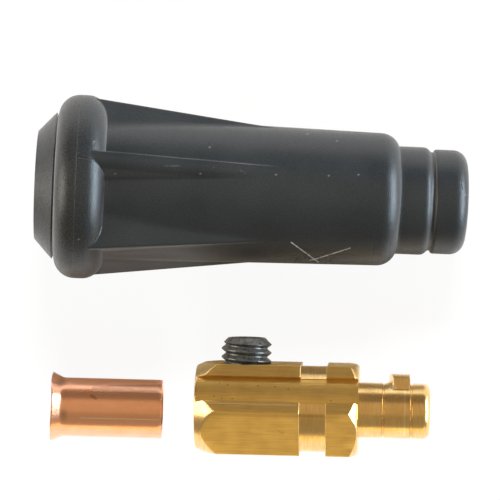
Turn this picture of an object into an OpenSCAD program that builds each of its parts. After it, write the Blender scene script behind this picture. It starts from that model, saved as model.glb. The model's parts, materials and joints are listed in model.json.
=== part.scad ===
// Welding cable plug, taken apart and laid out: a moulded rubber sleeve, a turned brass
// contact with its set screw, and a flared copper ferrule. Millimetres, +Z up, the table
// is the plane z = 0 and the origin is the middle of the ground that the pieces cover.
// The sleeve, the ferrule and the contact each have their own axis along +X before they
// are placed. Angles round an axis count from straight up (+Z) towards +Y.

/* [Sleeve] */
// Length of the tapered nose
nose_len = 4.6; // [3:0.1:8]
// Radius of the nose at its front face
nose_front_r = 13.1; // [12.6:0.1:15]
// Radius of the nose where it meets the rim
nose_back_r = 17.1; // [15:0.1:19]
// Chamfer of the nose's front edge
nose_edge = 0.4; // [0.1:0.1:1]
// Width of the narrow seam cut between nose and rim
seam_w = 0.4; // [0.2:0.05:1]
// Depth of that seam
seam_deep = 0.6; // [0.2:0.05:1.5]
// Width of the thick rim
rim_w = 11.5; // [10.8:0.1:16]
// Outer radius of the rim
rim_r = 21.4; // [20.5:0.1:26]
// Rounding of the two edges of the rim
rim_round = 4.9; // [2:0.1:5.4]
// Radius of the body where it leaves the rim
body_front_r = 16.7; // [15.6:0.1:18]
// Radius of the body at its stepped end
body_back_r = 15.5; // [14.5:0.1:16.5]
// Length of the body between the rim and the first collar
body_len = 68.4; // [62:0.1:75]
// Rounding of the body's stepped end
body_round = 4.6; // [1:0.1:5]
// Radius of the first collar
collar_r = 12.6; // [11:0.1:14]
// Length of the first collar
collar_len = 7.6; // [5:0.1:12]
// Rounding of the first collar's rear edge
collar_round = 2; // [0.5:0.1:2.5]
// Radius of the last collar, at the cable end
end_collar_r = 12.2; // [10.5:0.1:13.5]
// Length of the last collar, from the middle of the notch to the cable end
end_collar_len = 8.1; // [6:0.1:14]
// Rounding of the cable end
end_round = 3.3; // [1:0.1:3.5]
// Width of the notch between the two collars
notch_w = 0.6; // [0.3:0.1:1.5]
// Radius at the bottom of that notch
notch_r = 11.5; // [10:0.1:12]

/* [Fins] */
// Number of tapering fins round the body
fin_count = 6; // [3:1:8]
// Direction of the first fin, in degrees from straight up
fin_turn = 19.5; // [0:0.5:60]
// Radius of a fin's crest where it leaves the rim
fin_front_r = 21.2; // [18.5:0.1:21.4]
// Fall of a fin's crest, in degrees to the sleeve's axis
fin_slope = 7.1; // [5:0.1:10]
// Half width of a broad fin at its foot by the rim
broad_fin_w = 6.2; // [3:0.1:7]
// Half width of a narrow fin at its foot by the rim
narrow_fin_w = 3.4; // [2:0.1:5]
// Every how many fins a narrow one comes
narrow_every = 3; // [1:1:4]
// Rounding of a fin's crest
crest_round = 0.6; // [0.2:0.1:1.2]
// Depth that a fin's foot is sunk into the body
foot_sink = 1.5; // [0.5:0.1:2.5]

/* [Sleeve bore] */
// Length of the round mouth in front of the contact's pocket
mouth_len = 2; // [1:0.1:3]
// Chamfer round the mouth
mouth_chamfer = 0.6; // [0.2:0.1:1]
// Clearance between the contact and the pocket that it seats in
pocket_gap = 0.15; // [0.05:0.05:0.4]
// Radius of the cable passage behind the pocket
passage_r = 9.5; // [8:0.1:10.5]
// Length of the cone from the pocket down to the passage
shoulder_len = 3; // [1:0.5:6]
// Radius of the bore through the first collar
collar_bore_r = 8; // [6.5:0.1:9]
// Radius of the bore through the last collar
end_bore_r = 7; // [5.5:0.1:8]
// Length of the cone down to each collar's bore
bore_step = 1; // [0.5:0.1:2]

/* [Contact] */
// Width of the hexagon across its flats
hex_af = 21.2; // [19:0.1:22]
// Length of the hexagon, with its groove and flange
hex_len = 38.3; // [35.5:0.1:45]
// Radius of the cable end's face
cable_end_r = 9.8; // [9:0.1:10.4]
// Angle of the cable end's chamfer to the axis
cable_chamfer = 25.5; // [15:0.5:45]
// Length of the flange in front of the groove
flange_len = 7.5; // [5:0.1:11]
// Radius of the flange's front face
flange_face_r = 10.3; // [9:0.1:10.5]
// Width of the groove that locks the contact in the sleeve
groove_w = 6.1; // [3:0.1:8]
// Radius at the bottom of the groove
groove_r = 10.15; // [9.8:0.05:10.4]
// Width of the key channel along one flat
channel_w = 6.5; // [4:0.1:9]
// Radius of the key channel's round floor
channel_r = 10; // [9.6:0.05:10.1]
// Radius of the cable bore
cable_bore_r = 7.2; // [6.5:0.1:8]
// Depth of the cable bore's wall
cable_bore_len = 22; // [19.5:0.1:24]
// Chamfer at the cable bore's mouth
bore_chamfer = 0.8; // [0.2:0.1:1.2]
// Angle of the drill point to the axis
drill_angle = 59; // [45:1:70]

/* [Pin] */
// Radius of the pin
pin_r = 6.5; // [6:0.1:7.5]
// Length of the pin in front of the flange
pin_len = 16.8; // [14:0.1:22]
// Rounding of the pin's tip
pin_round = 1.8; // [0.5:0.1:3]
// Width of a turned line round the pin
line_w = 0.6; // [0.3:0.05:0.7]
// Depth of a turned line
line_deep = 0.2; // [0.1:0.01:0.4]
// Distance from the flange to the lug
lug_from = 7.6; // [4:0.1:8.5]
// Length of the lug along the pin
lug_len = 4.4; // [3:0.1:5]
// Width of the lug
lug_w = 7.1; // [4:0.1:8]
// Radius of the lug's outer face
lug_r = 8.7; // [7.9:0.1:9.5]
// Slant of the lug's locking face over its width
lug_slant = 1.2; // [0:0.1:2]
// Fillet between the lug and the pin
lug_fillet = 1.3; // [0.4:0.1:1.3]
// Height above the pin that the mill keeps when it cuts the slanted face
mill_gap = 0.3; // [0.1:0.1:0.8]

/* [Set screw] */
// Outer radius of the thread
screw_r = 5.9; // [5:0.1:6]
// Running clearance between the thread and its hole
screw_gap = 0.06; // [0.02:0.01:0.1]
// Pitch of the thread
thread_pitch = 2; // [1:0.25:2.5]
// Depth of the thread
thread_deep = 0.95; // [0.4:0.05:1.1]
// Length of the screw
screw_len = 10; // [8:0.1:10]
// Height of the screw above the flat that it stands in
screw_proud = 5.9; // [2:0.1:6.8]
// Distance of the screw from the contact's cable end
screw_from = 11.6; // [11:0.1:13]
// Chamfer at both ends of the screw
screw_chamfer = 1.5; // [0.5:0.1:2]
// Width of the hexagon socket across its flats
socket_af = 6; // [5:0.1:7]
// Depth of the socket
socket_deep = 5; // [3:0.1:6]

/* [Ferrule] */
// Outer radius of the tube
ferrule_r = 7; // [6:0.05:7.05]
// Thickness of the tube
ferrule_wall = 0.5; // [0.3:0.05:1]
// Length of the ferrule
ferrule_len = 26.1; // [15:0.1:27]
// Outer radius of the flared mouth
flare_r = 8.25; // [7.5:0.05:9]
// Length of the flared mouth
flare_len = 2.4; // [1:0.1:4]

/* [Layout] */
// Free space between the sleeve's rim and the contact
row_gap = 19.8; // [5:0.1:40]
// Turn of the sleeve on the table, in degrees
sleeve_turn = -1.5; // [-10:0.1:10]
// Turn of the ferrule on the table, in degrees
ferrule_turn = -0.4; // [-10:0.1:10]
// Distance of the ferrule behind the sleeve's nose
ferrule_inset = 2.7; // [0:0.1:10]
// Free space between the ferrule and the contact
ferrule_space = 8.7; // [2:0.1:15]
// Distance that the ferrule's axis lies in front of the contact's
ferrule_side = 1.2; // [0:0.1:2]

/* [Hidden] */
$fn = 96;
eps = 0.01;
// How far a cut runs past what it cuts
over = 1;
// Share of the rim's rounding that the fins start before its rear face
fin_start = 0.8;
hex_r = hex_af / sqrt(3);

// Where the sleeve's sections begin, counted from the nose
rim_x = nose_len;
body_x = rim_x + rim_w;
collar_x = body_x + body_len;
notch_x = collar_x + collar_len;
sleeve_len = notch_x + end_collar_len;
foot_x = body_x - rim_round * fin_start;

// The contact as it seats in the sleeve: its flange stands behind the mouth
pocket_len = hex_len + 2 * pocket_gap;
pocket_r = hex_r + pocket_gap * 2 / sqrt(3);
groove_x = hex_len - flange_len - groove_w;
seat_groove_x = mouth_len + pocket_gap + flange_len;

// The sleeve comes to rest on its rim and on the rounded end of its body
rim_arc_x = body_x - rim_round;
rim_arc_r = rim_r - rim_round;
end_arc_x = collar_x - body_round;
end_arc_r = body_back_r - body_round;
arc_dx = end_arc_x - rim_arc_x;
arc_dr = rim_arc_r - end_arc_r;
sleeve_tilt = atan(arc_dr / arc_dx)
    + asin((rim_round - body_round) / sqrt(arc_dx * arc_dx + arc_dr * arc_dr));
sleeve_z = rim_round + rim_arc_r * cos(sleeve_tilt) + rim_arc_x * sin(sleeve_tilt);

// The ferrule comes to rest on its flared mouth and on its plain end
ferrule_tilt = atan((flare_r - ferrule_r) / ferrule_len);
ferrule_z = flare_r * cos(ferrule_tilt);

// Places on the table
sleeve_x = -sleeve_len * cos(sleeve_tilt) / 2;
depth = 2 * rim_r + row_gap + hex_af;
sleeve_y = depth / 2 - rim_r - rim_x * sin(sleeve_turn);
contact_y = -depth / 2 + hex_af / 2;
ferrule_x = sleeve_x + ferrule_inset;
contact_x = ferrule_x + ferrule_len + ferrule_space;

// Turns a flat outline of [radius, distance] points round the X axis
module turned() {
    rotate([0, 90, 0])
        rotate_extrude()
            children();
}

// What is cut away to round the outer corner of a flat outline
module corner_waste(round_r) {
    difference() {
        square(round_r + eps);
        circle(round_r);
    }
}

// A turned disc's half section from x0 to x1, with its two outer edges rounded
module disc_section(outer_r, x0, x1, front_round, rear_round) {
    difference() {
        translate([0, x0])
            square([outer_r, x1 - x0]);
        if (rear_round > 0)
            translate([outer_r - rear_round, x1 - rear_round])
                corner_waste(rear_round);
        if (front_round > 0)
            translate([outer_r - front_round, x0 + front_round])
                mirror([0, 1])
                    corner_waste(front_round);
    }
}

// A hexagon bar along +X with one edge straight up
module hex_bar(across, x0, x1) {
    translate([x0, 0, 0])
        rotate([0, 90, 0])
            cylinder(r = across / sqrt(3), h = x1 - x0, $fn = 6);
}

// The strip of a given width along the flat that faces up and towards +Y
module key_strip(width, floor_r, x0, x1) {
    difference() {
        rotate([-30, 0, 0])
            translate([x0, -width / 2, 0])
                cube([x1 - x0, width, hex_af]);
        translate([x0 - over, 0, 0])
            rotate([0, 90, 0])
                cylinder(r = floor_r, h = x1 - x0 + 2 * over);
    }
}

// Half section of the sleeve's outside
module sleeve_section() {
    polygon([
        [0, 0],
        [nose_front_r - nose_edge, 0],
        [nose_front_r, nose_edge],
        [nose_back_r, nose_len - seam_w],
        [nose_back_r - seam_deep, nose_len - seam_w / 2],
        [nose_back_r - seam_deep, nose_len + seam_w],
        [0, nose_len + seam_w]
    ]);
    disc_section(rim_r, rim_x, body_x, rim_round, rim_round);
    polygon([
        [0, rim_x + seam_w],
        [body_front_r, rim_x + seam_w],
        [body_front_r, body_x],
        [body_back_r, end_arc_x],
        [0, end_arc_x]
    ]);
    disc_section(body_back_r, end_arc_x, collar_x, 0, body_round);
    disc_section(collar_r, collar_x - body_round, notch_x - notch_w / 2, 0, collar_round);
    translate([0, notch_x - notch_w])
        square([notch_r, 2 * notch_w]);
    disc_section(end_collar_r, notch_x + notch_w / 2, sleeve_len, notch_w, end_round);
}

// Section of a fin with its rounded crest at the origin and its foot below it
module fin_section(half_w) {
    height = fin_front_r - body_front_r;
    half_apex = atan(half_w / height);
    reach = height + foot_sink;
    steps = 3;
    crest = [for (i = [-steps:steps]) let (a = i * (90 - half_apex) / steps)
        [crest_round * sin(a), crest_round * (cos(a) - 1)]];
    shift = crest_round * (1 / sin(half_apex) - 1);
    foot = (reach + shift) * tan(half_apex);
    polygon(concat([[-foot, -reach]], crest, [[foot, -reach]]));
}

// A fin whose crest falls away from the rim until it sinks into the body
module fin(half_w) {
    run = (fin_front_r - body_back_r + crest_round) / sin(fin_slope);
    translate([foot_x, 0, fin_front_r])
        rotate([0, fin_slope, 0])
            rotate([90, 0, 90])
                linear_extrude(min(run, collar_x - body_round - foot_x))
                    fin_section(half_w);
}

// The hollow of the sleeve: mouth, pocket shaped to the contact, passage and collar bores
module sleeve_hollow() {
    pocket_x1 = mouth_len + pocket_len;
    mouth_r = flange_face_r + pocket_gap;
    turned()
        polygon([
            [0, -over],
            [mouth_r + mouth_chamfer + over, -over],
            [mouth_r, mouth_chamfer],
            [mouth_r, mouth_len + over],
            [0, mouth_len + over]
        ]);
    difference() {
        hex_bar(hex_af + 2 * pocket_gap, mouth_len, pocket_x1);
        // Rib that snaps into the contact's groove
        turned()
            translate([groove_r + pocket_gap, seat_groove_x + pocket_gap])
                square([hex_af, groove_w - 2 * pocket_gap]);
        // Key that the contact's channel slides over
        key_strip(channel_w - 2 * pocket_gap, channel_r + pocket_gap, mouth_len - over, pocket_x1 + over);
    }
    turned()
        polygon([
            [0, pocket_x1 - over],
            [cable_end_r, pocket_x1 - over],
            [cable_end_r, pocket_x1],
            [passage_r, pocket_x1 + shoulder_len],
            [passage_r, collar_x],
            [collar_bore_r, collar_x + bore_step],
            [collar_bore_r, notch_x],
            [end_bore_r, notch_x + bore_step],
            [end_bore_r, sleeve_len + over],
            [0, sleeve_len + over]
        ]);
}

module sleeve() {
    color([0.2, 0.2, 0.2])
        translate([sleeve_x, sleeve_y, sleeve_z])
            rotate([0, sleeve_tilt, sleeve_turn])
                difference() {
                    union() {
                        turned()
                            sleeve_section();
                        for (i = [0:fin_count - 1])
                            rotate([-fin_turn - i * 360 / fin_count, 0, 0])
                                fin(i % narrow_every == 0 ? narrow_fin_w : broad_fin_w);
                    }
                    sleeve_hollow();
                }
}

// The hexagon with both ends chamfered on the lathe, its groove and its key channel
module contact_hex() {
    chamfer_r = hex_r + over;
    chamfer_len = (chamfer_r - cable_end_r) / tan(cable_chamfer);
    face_chamfer = chamfer_r - flange_face_r;
    difference() {
        intersection() {
            hex_bar(hex_af, 0, hex_len);
            turned()
                polygon([
                    [0, 0],
                    [cable_end_r, 0],
                    [chamfer_r, chamfer_len],
                    [chamfer_r, hex_len - face_chamfer],
                    [flange_face_r, hex_len],
                    [0, hex_len]
                ]);
        }
        turned()
            translate([groove_r, groove_x])
                square([hex_af, groove_w]);
        key_strip(channel_w, channel_r, -over, hex_len + over);
    }
}

// The lug: a turned collar with a filleted rear, cut down to a narrow block whose locking
// face is then milled on a slant
module lug() {
    fillet_x = lug_from - lug_fillet;
    difference() {
        intersection() {
            turned()
                difference() {
                    translate([0, fillet_x])
                        square([lug_r, lug_len + lug_fillet]);
                    translate([pin_r + lug_fillet, fillet_x])
                        circle(lug_fillet);
                    translate([pin_r + lug_fillet, fillet_x - lug_fillet])
                        square([lug_r, 2 * lug_fillet]);
                }
            translate([fillet_x, 0, -lug_w / 2])
                cube([lug_len + lug_fillet, lug_r, lug_w]);
        }
        translate([0, pin_r + mill_gap, 0])
            rotate([-90, 0, 0])
                linear_extrude(lug_r)
                    polygon([
                        [fillet_x - over, lug_w],
                        [lug_from - lug_slant / 2, lug_w],
                        [lug_from + lug_slant * 3 / 2, -lug_w],
                        [fillet_x - over, -lug_w]
                    ]);
    }
}

// The pin with its rounded tip and the two lines that the tool left on either side of the lug
module pin() {
    line_off = line_w * 3 / 4;
    turned()
        difference() {
            disc_section(pin_r, -over, pin_len, 0, pin_round);
            for (x = [lug_from - lug_fillet - line_off, lug_from + lug_len + line_off])
                translate([pin_r - line_deep, x - line_w / 2])
                    square([over, line_w]);
        }
    lug();
}

// Cable bore with its chamfered mouth and drill point, and the hole that the set screw runs in
module contact_holes() {
    turned()
        polygon([
            [0, -over],
            [cable_bore_r + bore_chamfer + over, -over],
            [cable_bore_r, bore_chamfer],
            [cable_bore_r, cable_bore_len],
            [0, cable_bore_len + cable_bore_r / tan(drill_angle)]
        ]);
    translate([screw_from, 0, 0])
        rotate([-90, 0, 0])
            cylinder(r = screw_r + screw_gap, h = hex_af);
}

module contact() {
    color([0.8, 0.62, 0.3])
        translate([contact_x, contact_y, hex_r])
            difference() {
                union() {
                    contact_hex();
                    translate([hex_len, 0, 0])
                        pin();
                }
                contact_holes();
            }
}

// Half section of the screw: ridges at the thread's pitch between two chamfered ends
module screw_section() {
    root_r = screw_r - thread_deep;
    flat = thread_pitch / 8;
    turns = floor((screw_len - 2 * screw_chamfer) / thread_pitch);
    first = (screw_len - turns * thread_pitch) / 2;
    ridges = [for (i = [0:turns - 1]) let (y = first + i * thread_pitch)
        each [
            [root_r, y + flat],
            [screw_r, y + thread_pitch / 2 - flat / 2],
            [screw_r, y + thread_pitch / 2 + flat / 2],
            [root_r, y + thread_pitch - flat]
        ]];
    end_r = screw_r - screw_chamfer;
    polygon(concat(
        [[0, 0], [end_r, 0], [root_r, first - thread_pitch / 4]],
        ridges,
        [[root_r, screw_len - first + thread_pitch / 4], [end_r, screw_len], [0, screw_len]]
    ));
}

module set_screw() {
    color([0.16, 0.16, 0.16])
        translate([contact_x + screw_from, contact_y + hex_af / 2 + screw_proud - screw_len, hex_r])
            rotate([-90, 0, 0])
                difference() {
                    rotate_extrude()
                        screw_section();
                    translate([0, 0, screw_len - socket_deep])
                        cylinder(r = socket_af / sqrt(3), h = socket_deep + over, $fn = 6);
                }
}

module ferrule() {
    color([0.82, 0.5, 0.35])
        translate([ferrule_x, contact_y - ferrule_side, ferrule_z])
            rotate([0, ferrule_tilt, ferrule_turn])
                turned()
                    polygon([
                        [flare_r - ferrule_wall, 0],
                        [flare_r, 0],
                        [ferrule_r, flare_len],
                        [ferrule_r, ferrule_len],
                        [ferrule_r - ferrule_wall, ferrule_len],
                        [ferrule_r - ferrule_wall, flare_len]
                    ]);
}

sleeve();
contact();
ferrule();
set_screw();
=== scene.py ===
import json
import math

import bpy
from mathutils import Matrix, Vector


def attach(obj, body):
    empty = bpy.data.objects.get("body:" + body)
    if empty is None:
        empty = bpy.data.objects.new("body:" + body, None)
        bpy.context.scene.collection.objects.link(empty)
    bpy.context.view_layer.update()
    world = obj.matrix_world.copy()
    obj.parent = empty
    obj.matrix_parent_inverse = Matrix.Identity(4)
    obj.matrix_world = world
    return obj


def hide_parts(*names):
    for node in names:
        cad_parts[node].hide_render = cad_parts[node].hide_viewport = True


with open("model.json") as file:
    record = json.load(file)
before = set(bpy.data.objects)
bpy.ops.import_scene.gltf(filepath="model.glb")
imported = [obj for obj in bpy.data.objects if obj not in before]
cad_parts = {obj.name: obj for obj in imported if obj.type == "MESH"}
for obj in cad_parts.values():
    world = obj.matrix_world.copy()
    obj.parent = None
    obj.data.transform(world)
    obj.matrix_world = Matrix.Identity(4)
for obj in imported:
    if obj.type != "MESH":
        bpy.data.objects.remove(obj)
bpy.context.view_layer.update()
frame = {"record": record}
mounts = {mount["name"]: mount for mount in frame["record"]["mounts"]}

# Lengths are in millimetres until a mesh is made. Along a piece x runs on its own axis, and
# angles round it count from straight up towards the back of the table.
MM = 0.001

# Sleeve
SLEEVE_LEN = 100.2
NOSE_LEN = 4.6
NOSE_FRONT_R = 13.1
NOSE_BACK_R = 17.1
NOSE_EDGE = 0.4
SEAM_W = 0.4
SEAM_DEEP = 0.6
RIM_W = 11.5
RIM_R = 21.4
RIM_ROUND = 4.9
BODY_FRONT_R = 16.7
BODY_BACK_R = 15.5
BODY_LEN = 68.4
BODY_ROUND = 4.6
COLLAR_R = 12.6
COLLAR_LEN = 7.6
COLLAR_ROUND = 2
END_COLLAR_R = 12.2
END_ROUND = 3.3
NOTCH_W = 0.6
NOTCH_R = 11.5

# Fins
FIN_COUNT = 6
FIN_TURN = 19.5
FIN_FRONT_R = 21.2
FIN_SLOPE = 7.1
NARROW_EVERY = 3
# Slope of a fin's flanks against its middle plane, and the rounding of its crest. A narrow fin
# is rounded over to its inner flank only: its outer flank is steeper and ends in an arris,
# which lies off the crest's middle by NARROW_FIN_ARRIS, as an angle of the rounding
BROAD_FIN_APEX = 48
BROAD_FIN_CREST = 0.6
NARROW_FIN_OUTER = 20
NARROW_FIN_INNER = 27
NARROW_FIN_CREST = 3.2
NARROW_FIN_ARRIS = 14
NARROW_FIN_SHIFT = 3.2
# Past this no fin stands out of the body; then the fillets at the fins' feet and at the rim
FINS_END = 62
FOOT_SOFT = 0.5
RIM_SOFT = 0.15

# Bore of the sleeve
MOUTH_LEN = 2
MOUTH_CHAMFER = 0.6
POCKET_GAP = 0.15
PASSAGE_R = 9.5
SHOULDER_LEN = 3
COLLAR_BORE_R = 8
END_BORE_R = 7
BORE_STEP = 1

# Contact
HEX_AF = 21.2
HEX_LEN = 38.3
CABLE_END_R = 9.8
CABLE_CHAMFER = 25.5
FLANGE_LEN = 7.5
FLANGE_FACE_R = 10.3
GROOVE_W = 6.1
GROOVE_R = 10.15
CHANNEL_W = 6.5
CHANNEL_R = 10
CHANNEL_AT = 30
CABLE_BORE_R = 7.2
CABLE_BORE_LEN = 22
BORE_CHAMFER = 0.8
DRILL_ANGLE = 59
PIN_R = 6.5
PIN_LEN = 16.8
PIN_ROUND = 1.8
LINE_W = 0.6
LINE_DEEP = 0.2
LUG_FROM = 7.6
LUG_LEN = 4.4
LUG_W = 7.1
LUG_R = 8.7
LUG_SLANT = 1.2
LUG_FILLET = 1.3
LUG_AT = 90
EDGE = 0.1

# Set screw, and the drilled hole that it stands in
SCREW_R = 5.9
SCREW_GAP = 0.06
THREAD_PITCH = 2
THREAD_DEEP = 0.95
SCREW_LEN = 10
SCREW_FROM = 11.6
SCREW_CHAMFER = 1.5
SOCKET_AF = 6
SOCKET_DEEP = 5
SOCKET_TIP = 0.8
# The countersink round the socket, as depth and radius, and the depth where its flats begin
SOCKET_CONE = ((0, 3.9), (0.25, 3.55))
SOCKET_FLATS = 0.45
# How deep the hole's countersink is, and how near its foot comes to the contact's axis
HOLE_SINK = 0.3
HOLE_FOOT = 2.0

# Ferrule
FERRULE_R = 7
FERRULE_WALL = 0.5
FERRULE_LEN = 26.1
FLARE_R = 8.25
FLARE_LEN = 2.4


def sin(angle):
    return math.sin(math.radians(angle))


def cos(angle):
    return math.cos(math.radians(angle))


def tan(angle):
    return math.tan(math.radians(angle))


def soft_max(a, b, soft):
    """The larger of two radii, with a fillet of about that size where they cross."""
    near = max(soft - abs(a - b), 0) / soft
    return max(a, b) + near * near * soft / 4


def away(angle, centre, every=360):
    """Signed angle from the nearest of the directions that repeat from centre."""
    return (angle - centre + every / 2) % every - every / 2


def arc(x, r, radius, start, end, steps):
    """Points of a rounded corner about (x, r); an angle of 0 points along +X, 90 outwards."""
    turns = [start + (end - start) * i / steps for i in range(steps + 1)]
    return [(x + radius * cos(a), r + radius * sin(a)) for a in turns]


def stretch(start, end, steps):
    """Points from start up to, but without, end."""
    return [tuple(a + (b - a) * i / steps for a, b in zip(start, end)) for i in range(steps)]


def columns(step, extra):
    """Directions round an axis: an even grid, with more where the shape needs them."""
    fixed = sorted(set(round(a % 360, 4) for a in extra))
    even = [i * step for i in range(round(360 / step))]
    gap = step / 3
    clear = [a for a in even if all(abs(away(a, b)) > gap for b in fixed)]
    return sorted(fixed + clear)


def round_rows(points, angles):
    """Rows of a round shape: each point is the same in every direction."""
    return [[p] * len(angles) for p in points]


def ring_mesh(name, rows, angles, loop=False, poles=False):
    """A surface round the X axis. Each row holds one (x, r) for each direction, or one
    (x, r, angle) where a point leaves its direction."""
    verts = []
    for row in rows:
        for angle, (x, r, *moved) in zip(angles, row):
            at = moved[0] if moved else angle
            verts.append((x * MM, r * sin(at) * MM, r * cos(at) * MM))
    n, count = len(angles), len(rows)
    faces = []
    for i in range(count if loop else count - 1):
        for j in range(n):
            a, b = i * n + j, i * n + (j + 1) % n
            c, d = (i + 1) % count * n + (j + 1) % n, (i + 1) % count * n + j
            faces.append((d, c, b, a))
    if poles:
        for row, first in ((0, True), (count - 1, False)):
            x = sum(p[0] for p in rows[row]) / n
            verts.append((x * MM, 0, 0))
            tip = len(verts) - 1
            for j in range(n):
                a, b = row * n + j, row * n + (j + 1) % n
                faces.append((a, b, tip) if first else (b, a, tip))
    mesh = bpy.data.meshes.new(name)
    mesh.from_pydata(verts, [], faces)
    return mesh


def add(name, mesh, place, sharp=30):
    """Puts a mesh in its place, with edges over an angle left sharp. Each point keeps its own
    place on the piece, in millimetres, for the materials."""
    own = mesh.attributes.new("own_mm", "FLOAT_VECTOR", "POINT")
    for vertex, kept in zip(mesh.vertices, own.data):
        kept.vector = vertex.co / MM
    mesh.transform(place)
    mesh.update()
    for polygon in mesh.polygons:
        polygon.use_smooth = True
    mesh.set_sharp_from_angle(angle=math.radians(sharp))
    piece = bpy.data.objects.new(name, mesh)
    bpy.context.collection.objects.link(piece)
    return piece


def placed(origin, direction):
    """The place of a piece whose +X runs along direction, turned as little as may be."""
    tilt = math.asin(-direction[2])
    turn = math.atan2(direction[1], direction[0])
    turned = Matrix.Rotation(turn, 4, "Z") @ Matrix.Rotation(tilt, 4, "Y")
    return Matrix.Translation(origin) @ turned


def at_mount(mount, local_x, sign=1):
    """The place of a piece whose axis holds that mount, local_x millimetres along it."""
    direction = Vector(mount["axis"]) * sign
    return placed(Vector(mount["pos_m"]) - direction * local_x * MM, direction)


# The sleeve

RIM_X = NOSE_LEN
BODY_X = RIM_X + RIM_W
COLLAR_X = BODY_X + BODY_LEN
NOTCH_X = COLLAR_X + COLLAR_LEN
FOOT_X = BODY_X - RIM_ROUND * 0.8
FINS = [FIN_TURN + i * 360 / FIN_COUNT for i in range(FIN_COUNT)]


def hex_radius(angle, across, soft=0.0):
    """Radius of a hexagon with a corner straight up, its corners rounded by soft."""
    side = across / 2
    off = away(angle, 0, 60)
    flat = side / cos(30 - abs(off))
    if soft == 0:
        return flat
    centre = (side - soft) / cos(30)
    edge = math.degrees(math.atan2(soft / 2, centre + soft * cos(30)))
    if abs(off) > edge:
        return flat
    return centre * cos(off) + math.sqrt(soft * soft - (centre * sin(off)) ** 2)


def fin_radius(x, angle):
    """Radius of the nearest fin's surface, or 0 away from the fins."""
    number = round((angle - FIN_TURN) / (360 / FIN_COUNT)) % FIN_COUNT
    side = away(angle, FINS[number])
    if number % NARROW_EVERY == 0:
        side -= NARROW_FIN_SHIFT
        apex = NARROW_FIN_OUTER if side > 0 else NARROW_FIN_INNER
        lean = NARROW_FIN_ARRIS if side > 0 else 90 - apex
        round_r = NARROW_FIN_CREST
    else:
        apex = BROAD_FIN_APEX
        lean = 90 - apex
        round_r = BROAD_FIN_CREST
    off = abs(side)
    centre = FIN_FRONT_R - (x - FOOT_X) * tan(FIN_SLOPE) - round_r
    end_off = round_r * sin(lean)
    end_r = centre + round_r * cos(lean)
    if off < math.degrees(math.atan2(end_off, end_r)):
        return centre * cos(off) + math.sqrt(round_r ** 2 - (centre * sin(off)) ** 2)
    if off + apex > 120:
        return 0
    return (end_r * sin(apex) + end_off * cos(apex)) / sin(off + apex)


def body_radius(x):
    """Radius of the slightly tapering body between its fins."""
    share = (x - BODY_X) / (COLLAR_X - BODY_ROUND - BODY_X)
    return BODY_FRONT_R + (BODY_BACK_R - BODY_FRONT_R) * min(max(share, 0), 1)


def nose_points():
    """The nose's cone, the seam behind it and the rim's front rounding."""
    seam_x = NOSE_LEN - SEAM_W
    seam_r = NOSE_BACK_R - SEAM_DEEP
    points = stretch((0, NOSE_FRONT_R - NOSE_EDGE), (NOSE_EDGE, NOSE_FRONT_R), 2)
    points += stretch((NOSE_EDGE, NOSE_FRONT_R), (seam_x - 0.3, NOSE_BACK_R - 0.2), 4)
    points += [(seam_x - 0.1, NOSE_BACK_R - 0.05), (seam_x, NOSE_BACK_R - 0.15)]
    points += [(seam_x + 0.02, seam_r), (RIM_X, seam_r)]
    front = arc(RIM_X + RIM_ROUND, RIM_R - RIM_ROUND, RIM_ROUND, 180, 90, 14)
    return points + [p for p in front if p[1] > seam_r + 0.1]


def body_rows(angles):
    """The rim's back rounding, which the fins grow out of, and the finned body."""
    points = arc(BODY_X - RIM_ROUND, RIM_R - RIM_ROUND, RIM_ROUND, 90, 0, 26)
    points += [(BODY_X + 0.02, RIM_R - RIM_ROUND - 0.25), (BODY_X + 0.05, BODY_FRONT_R)]
    rows = []
    for x, r in points:
        fins = [soft_max(fin_radius(x, a), BODY_FRONT_R, FOOT_SOFT) for a in angles]
        rows.append([(x, soft_max(r, fin, RIM_SOFT)) for fin in fins])
    along = stretch((BODY_X + 0.3,), (FINS_END,), 56)
    along += stretch((FINS_END,), (COLLAR_X - BODY_ROUND,), 8)
    for (x,) in along:
        body = body_radius(x)
        rows.append([(x, soft_max(body, fin_radius(x, a), FOOT_SOFT)) for a in angles])
    return rows


def collar_points():
    """The body's rounded end, the first collar, the notch and the end collar."""
    end_x = COLLAR_X - BODY_ROUND
    end = arc(end_x, BODY_BACK_R - BODY_ROUND, BODY_ROUND, 90, 0, 12)
    foot = math.sqrt(BODY_ROUND ** 2 - (COLLAR_R + 0.1 - BODY_BACK_R + BODY_ROUND) ** 2)
    points = [p for p in end if p[1] > COLLAR_R + 0.3]
    points += [(end_x + foot, COLLAR_R + 0.1), (end_x + foot + 0.15, COLLAR_R)]
    first_x = NOTCH_X - NOTCH_W / 2 - COLLAR_ROUND
    first = arc(first_x, COLLAR_R - COLLAR_ROUND, COLLAR_ROUND, 90, 0, 8)
    points += stretch((COLLAR_X + 0.5, COLLAR_R), first[0], 4)
    points += [p for p in first if p[1] > NOTCH_R + 0.1]
    points += [(NOTCH_X - NOTCH_W / 3, NOTCH_R), (NOTCH_X + NOTCH_W / 3, NOTCH_R)]
    points += arc(NOTCH_X + NOTCH_W * 1.5, END_COLLAR_R - NOTCH_W, NOTCH_W, 180, 90, 4)
    last = arc(SLEEVE_LEN - END_ROUND, END_COLLAR_R - END_ROUND, END_ROUND, 90, 0, 14)
    points += stretch((NOTCH_X + NOTCH_W * 2, END_COLLAR_R), last[0], 4)
    points += last
    end_face = END_COLLAR_R - END_ROUND - 0.5
    return points + stretch((SLEEVE_LEN, end_face), (SLEEVE_LEN, END_BORE_R), 4)


def key_half_angle():
    """Half of the angle that the pocket's key takes up."""
    return math.degrees(math.asin((CHANNEL_W / 2 - POCKET_GAP) / (CHANNEL_R + POCKET_GAP)))


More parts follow.
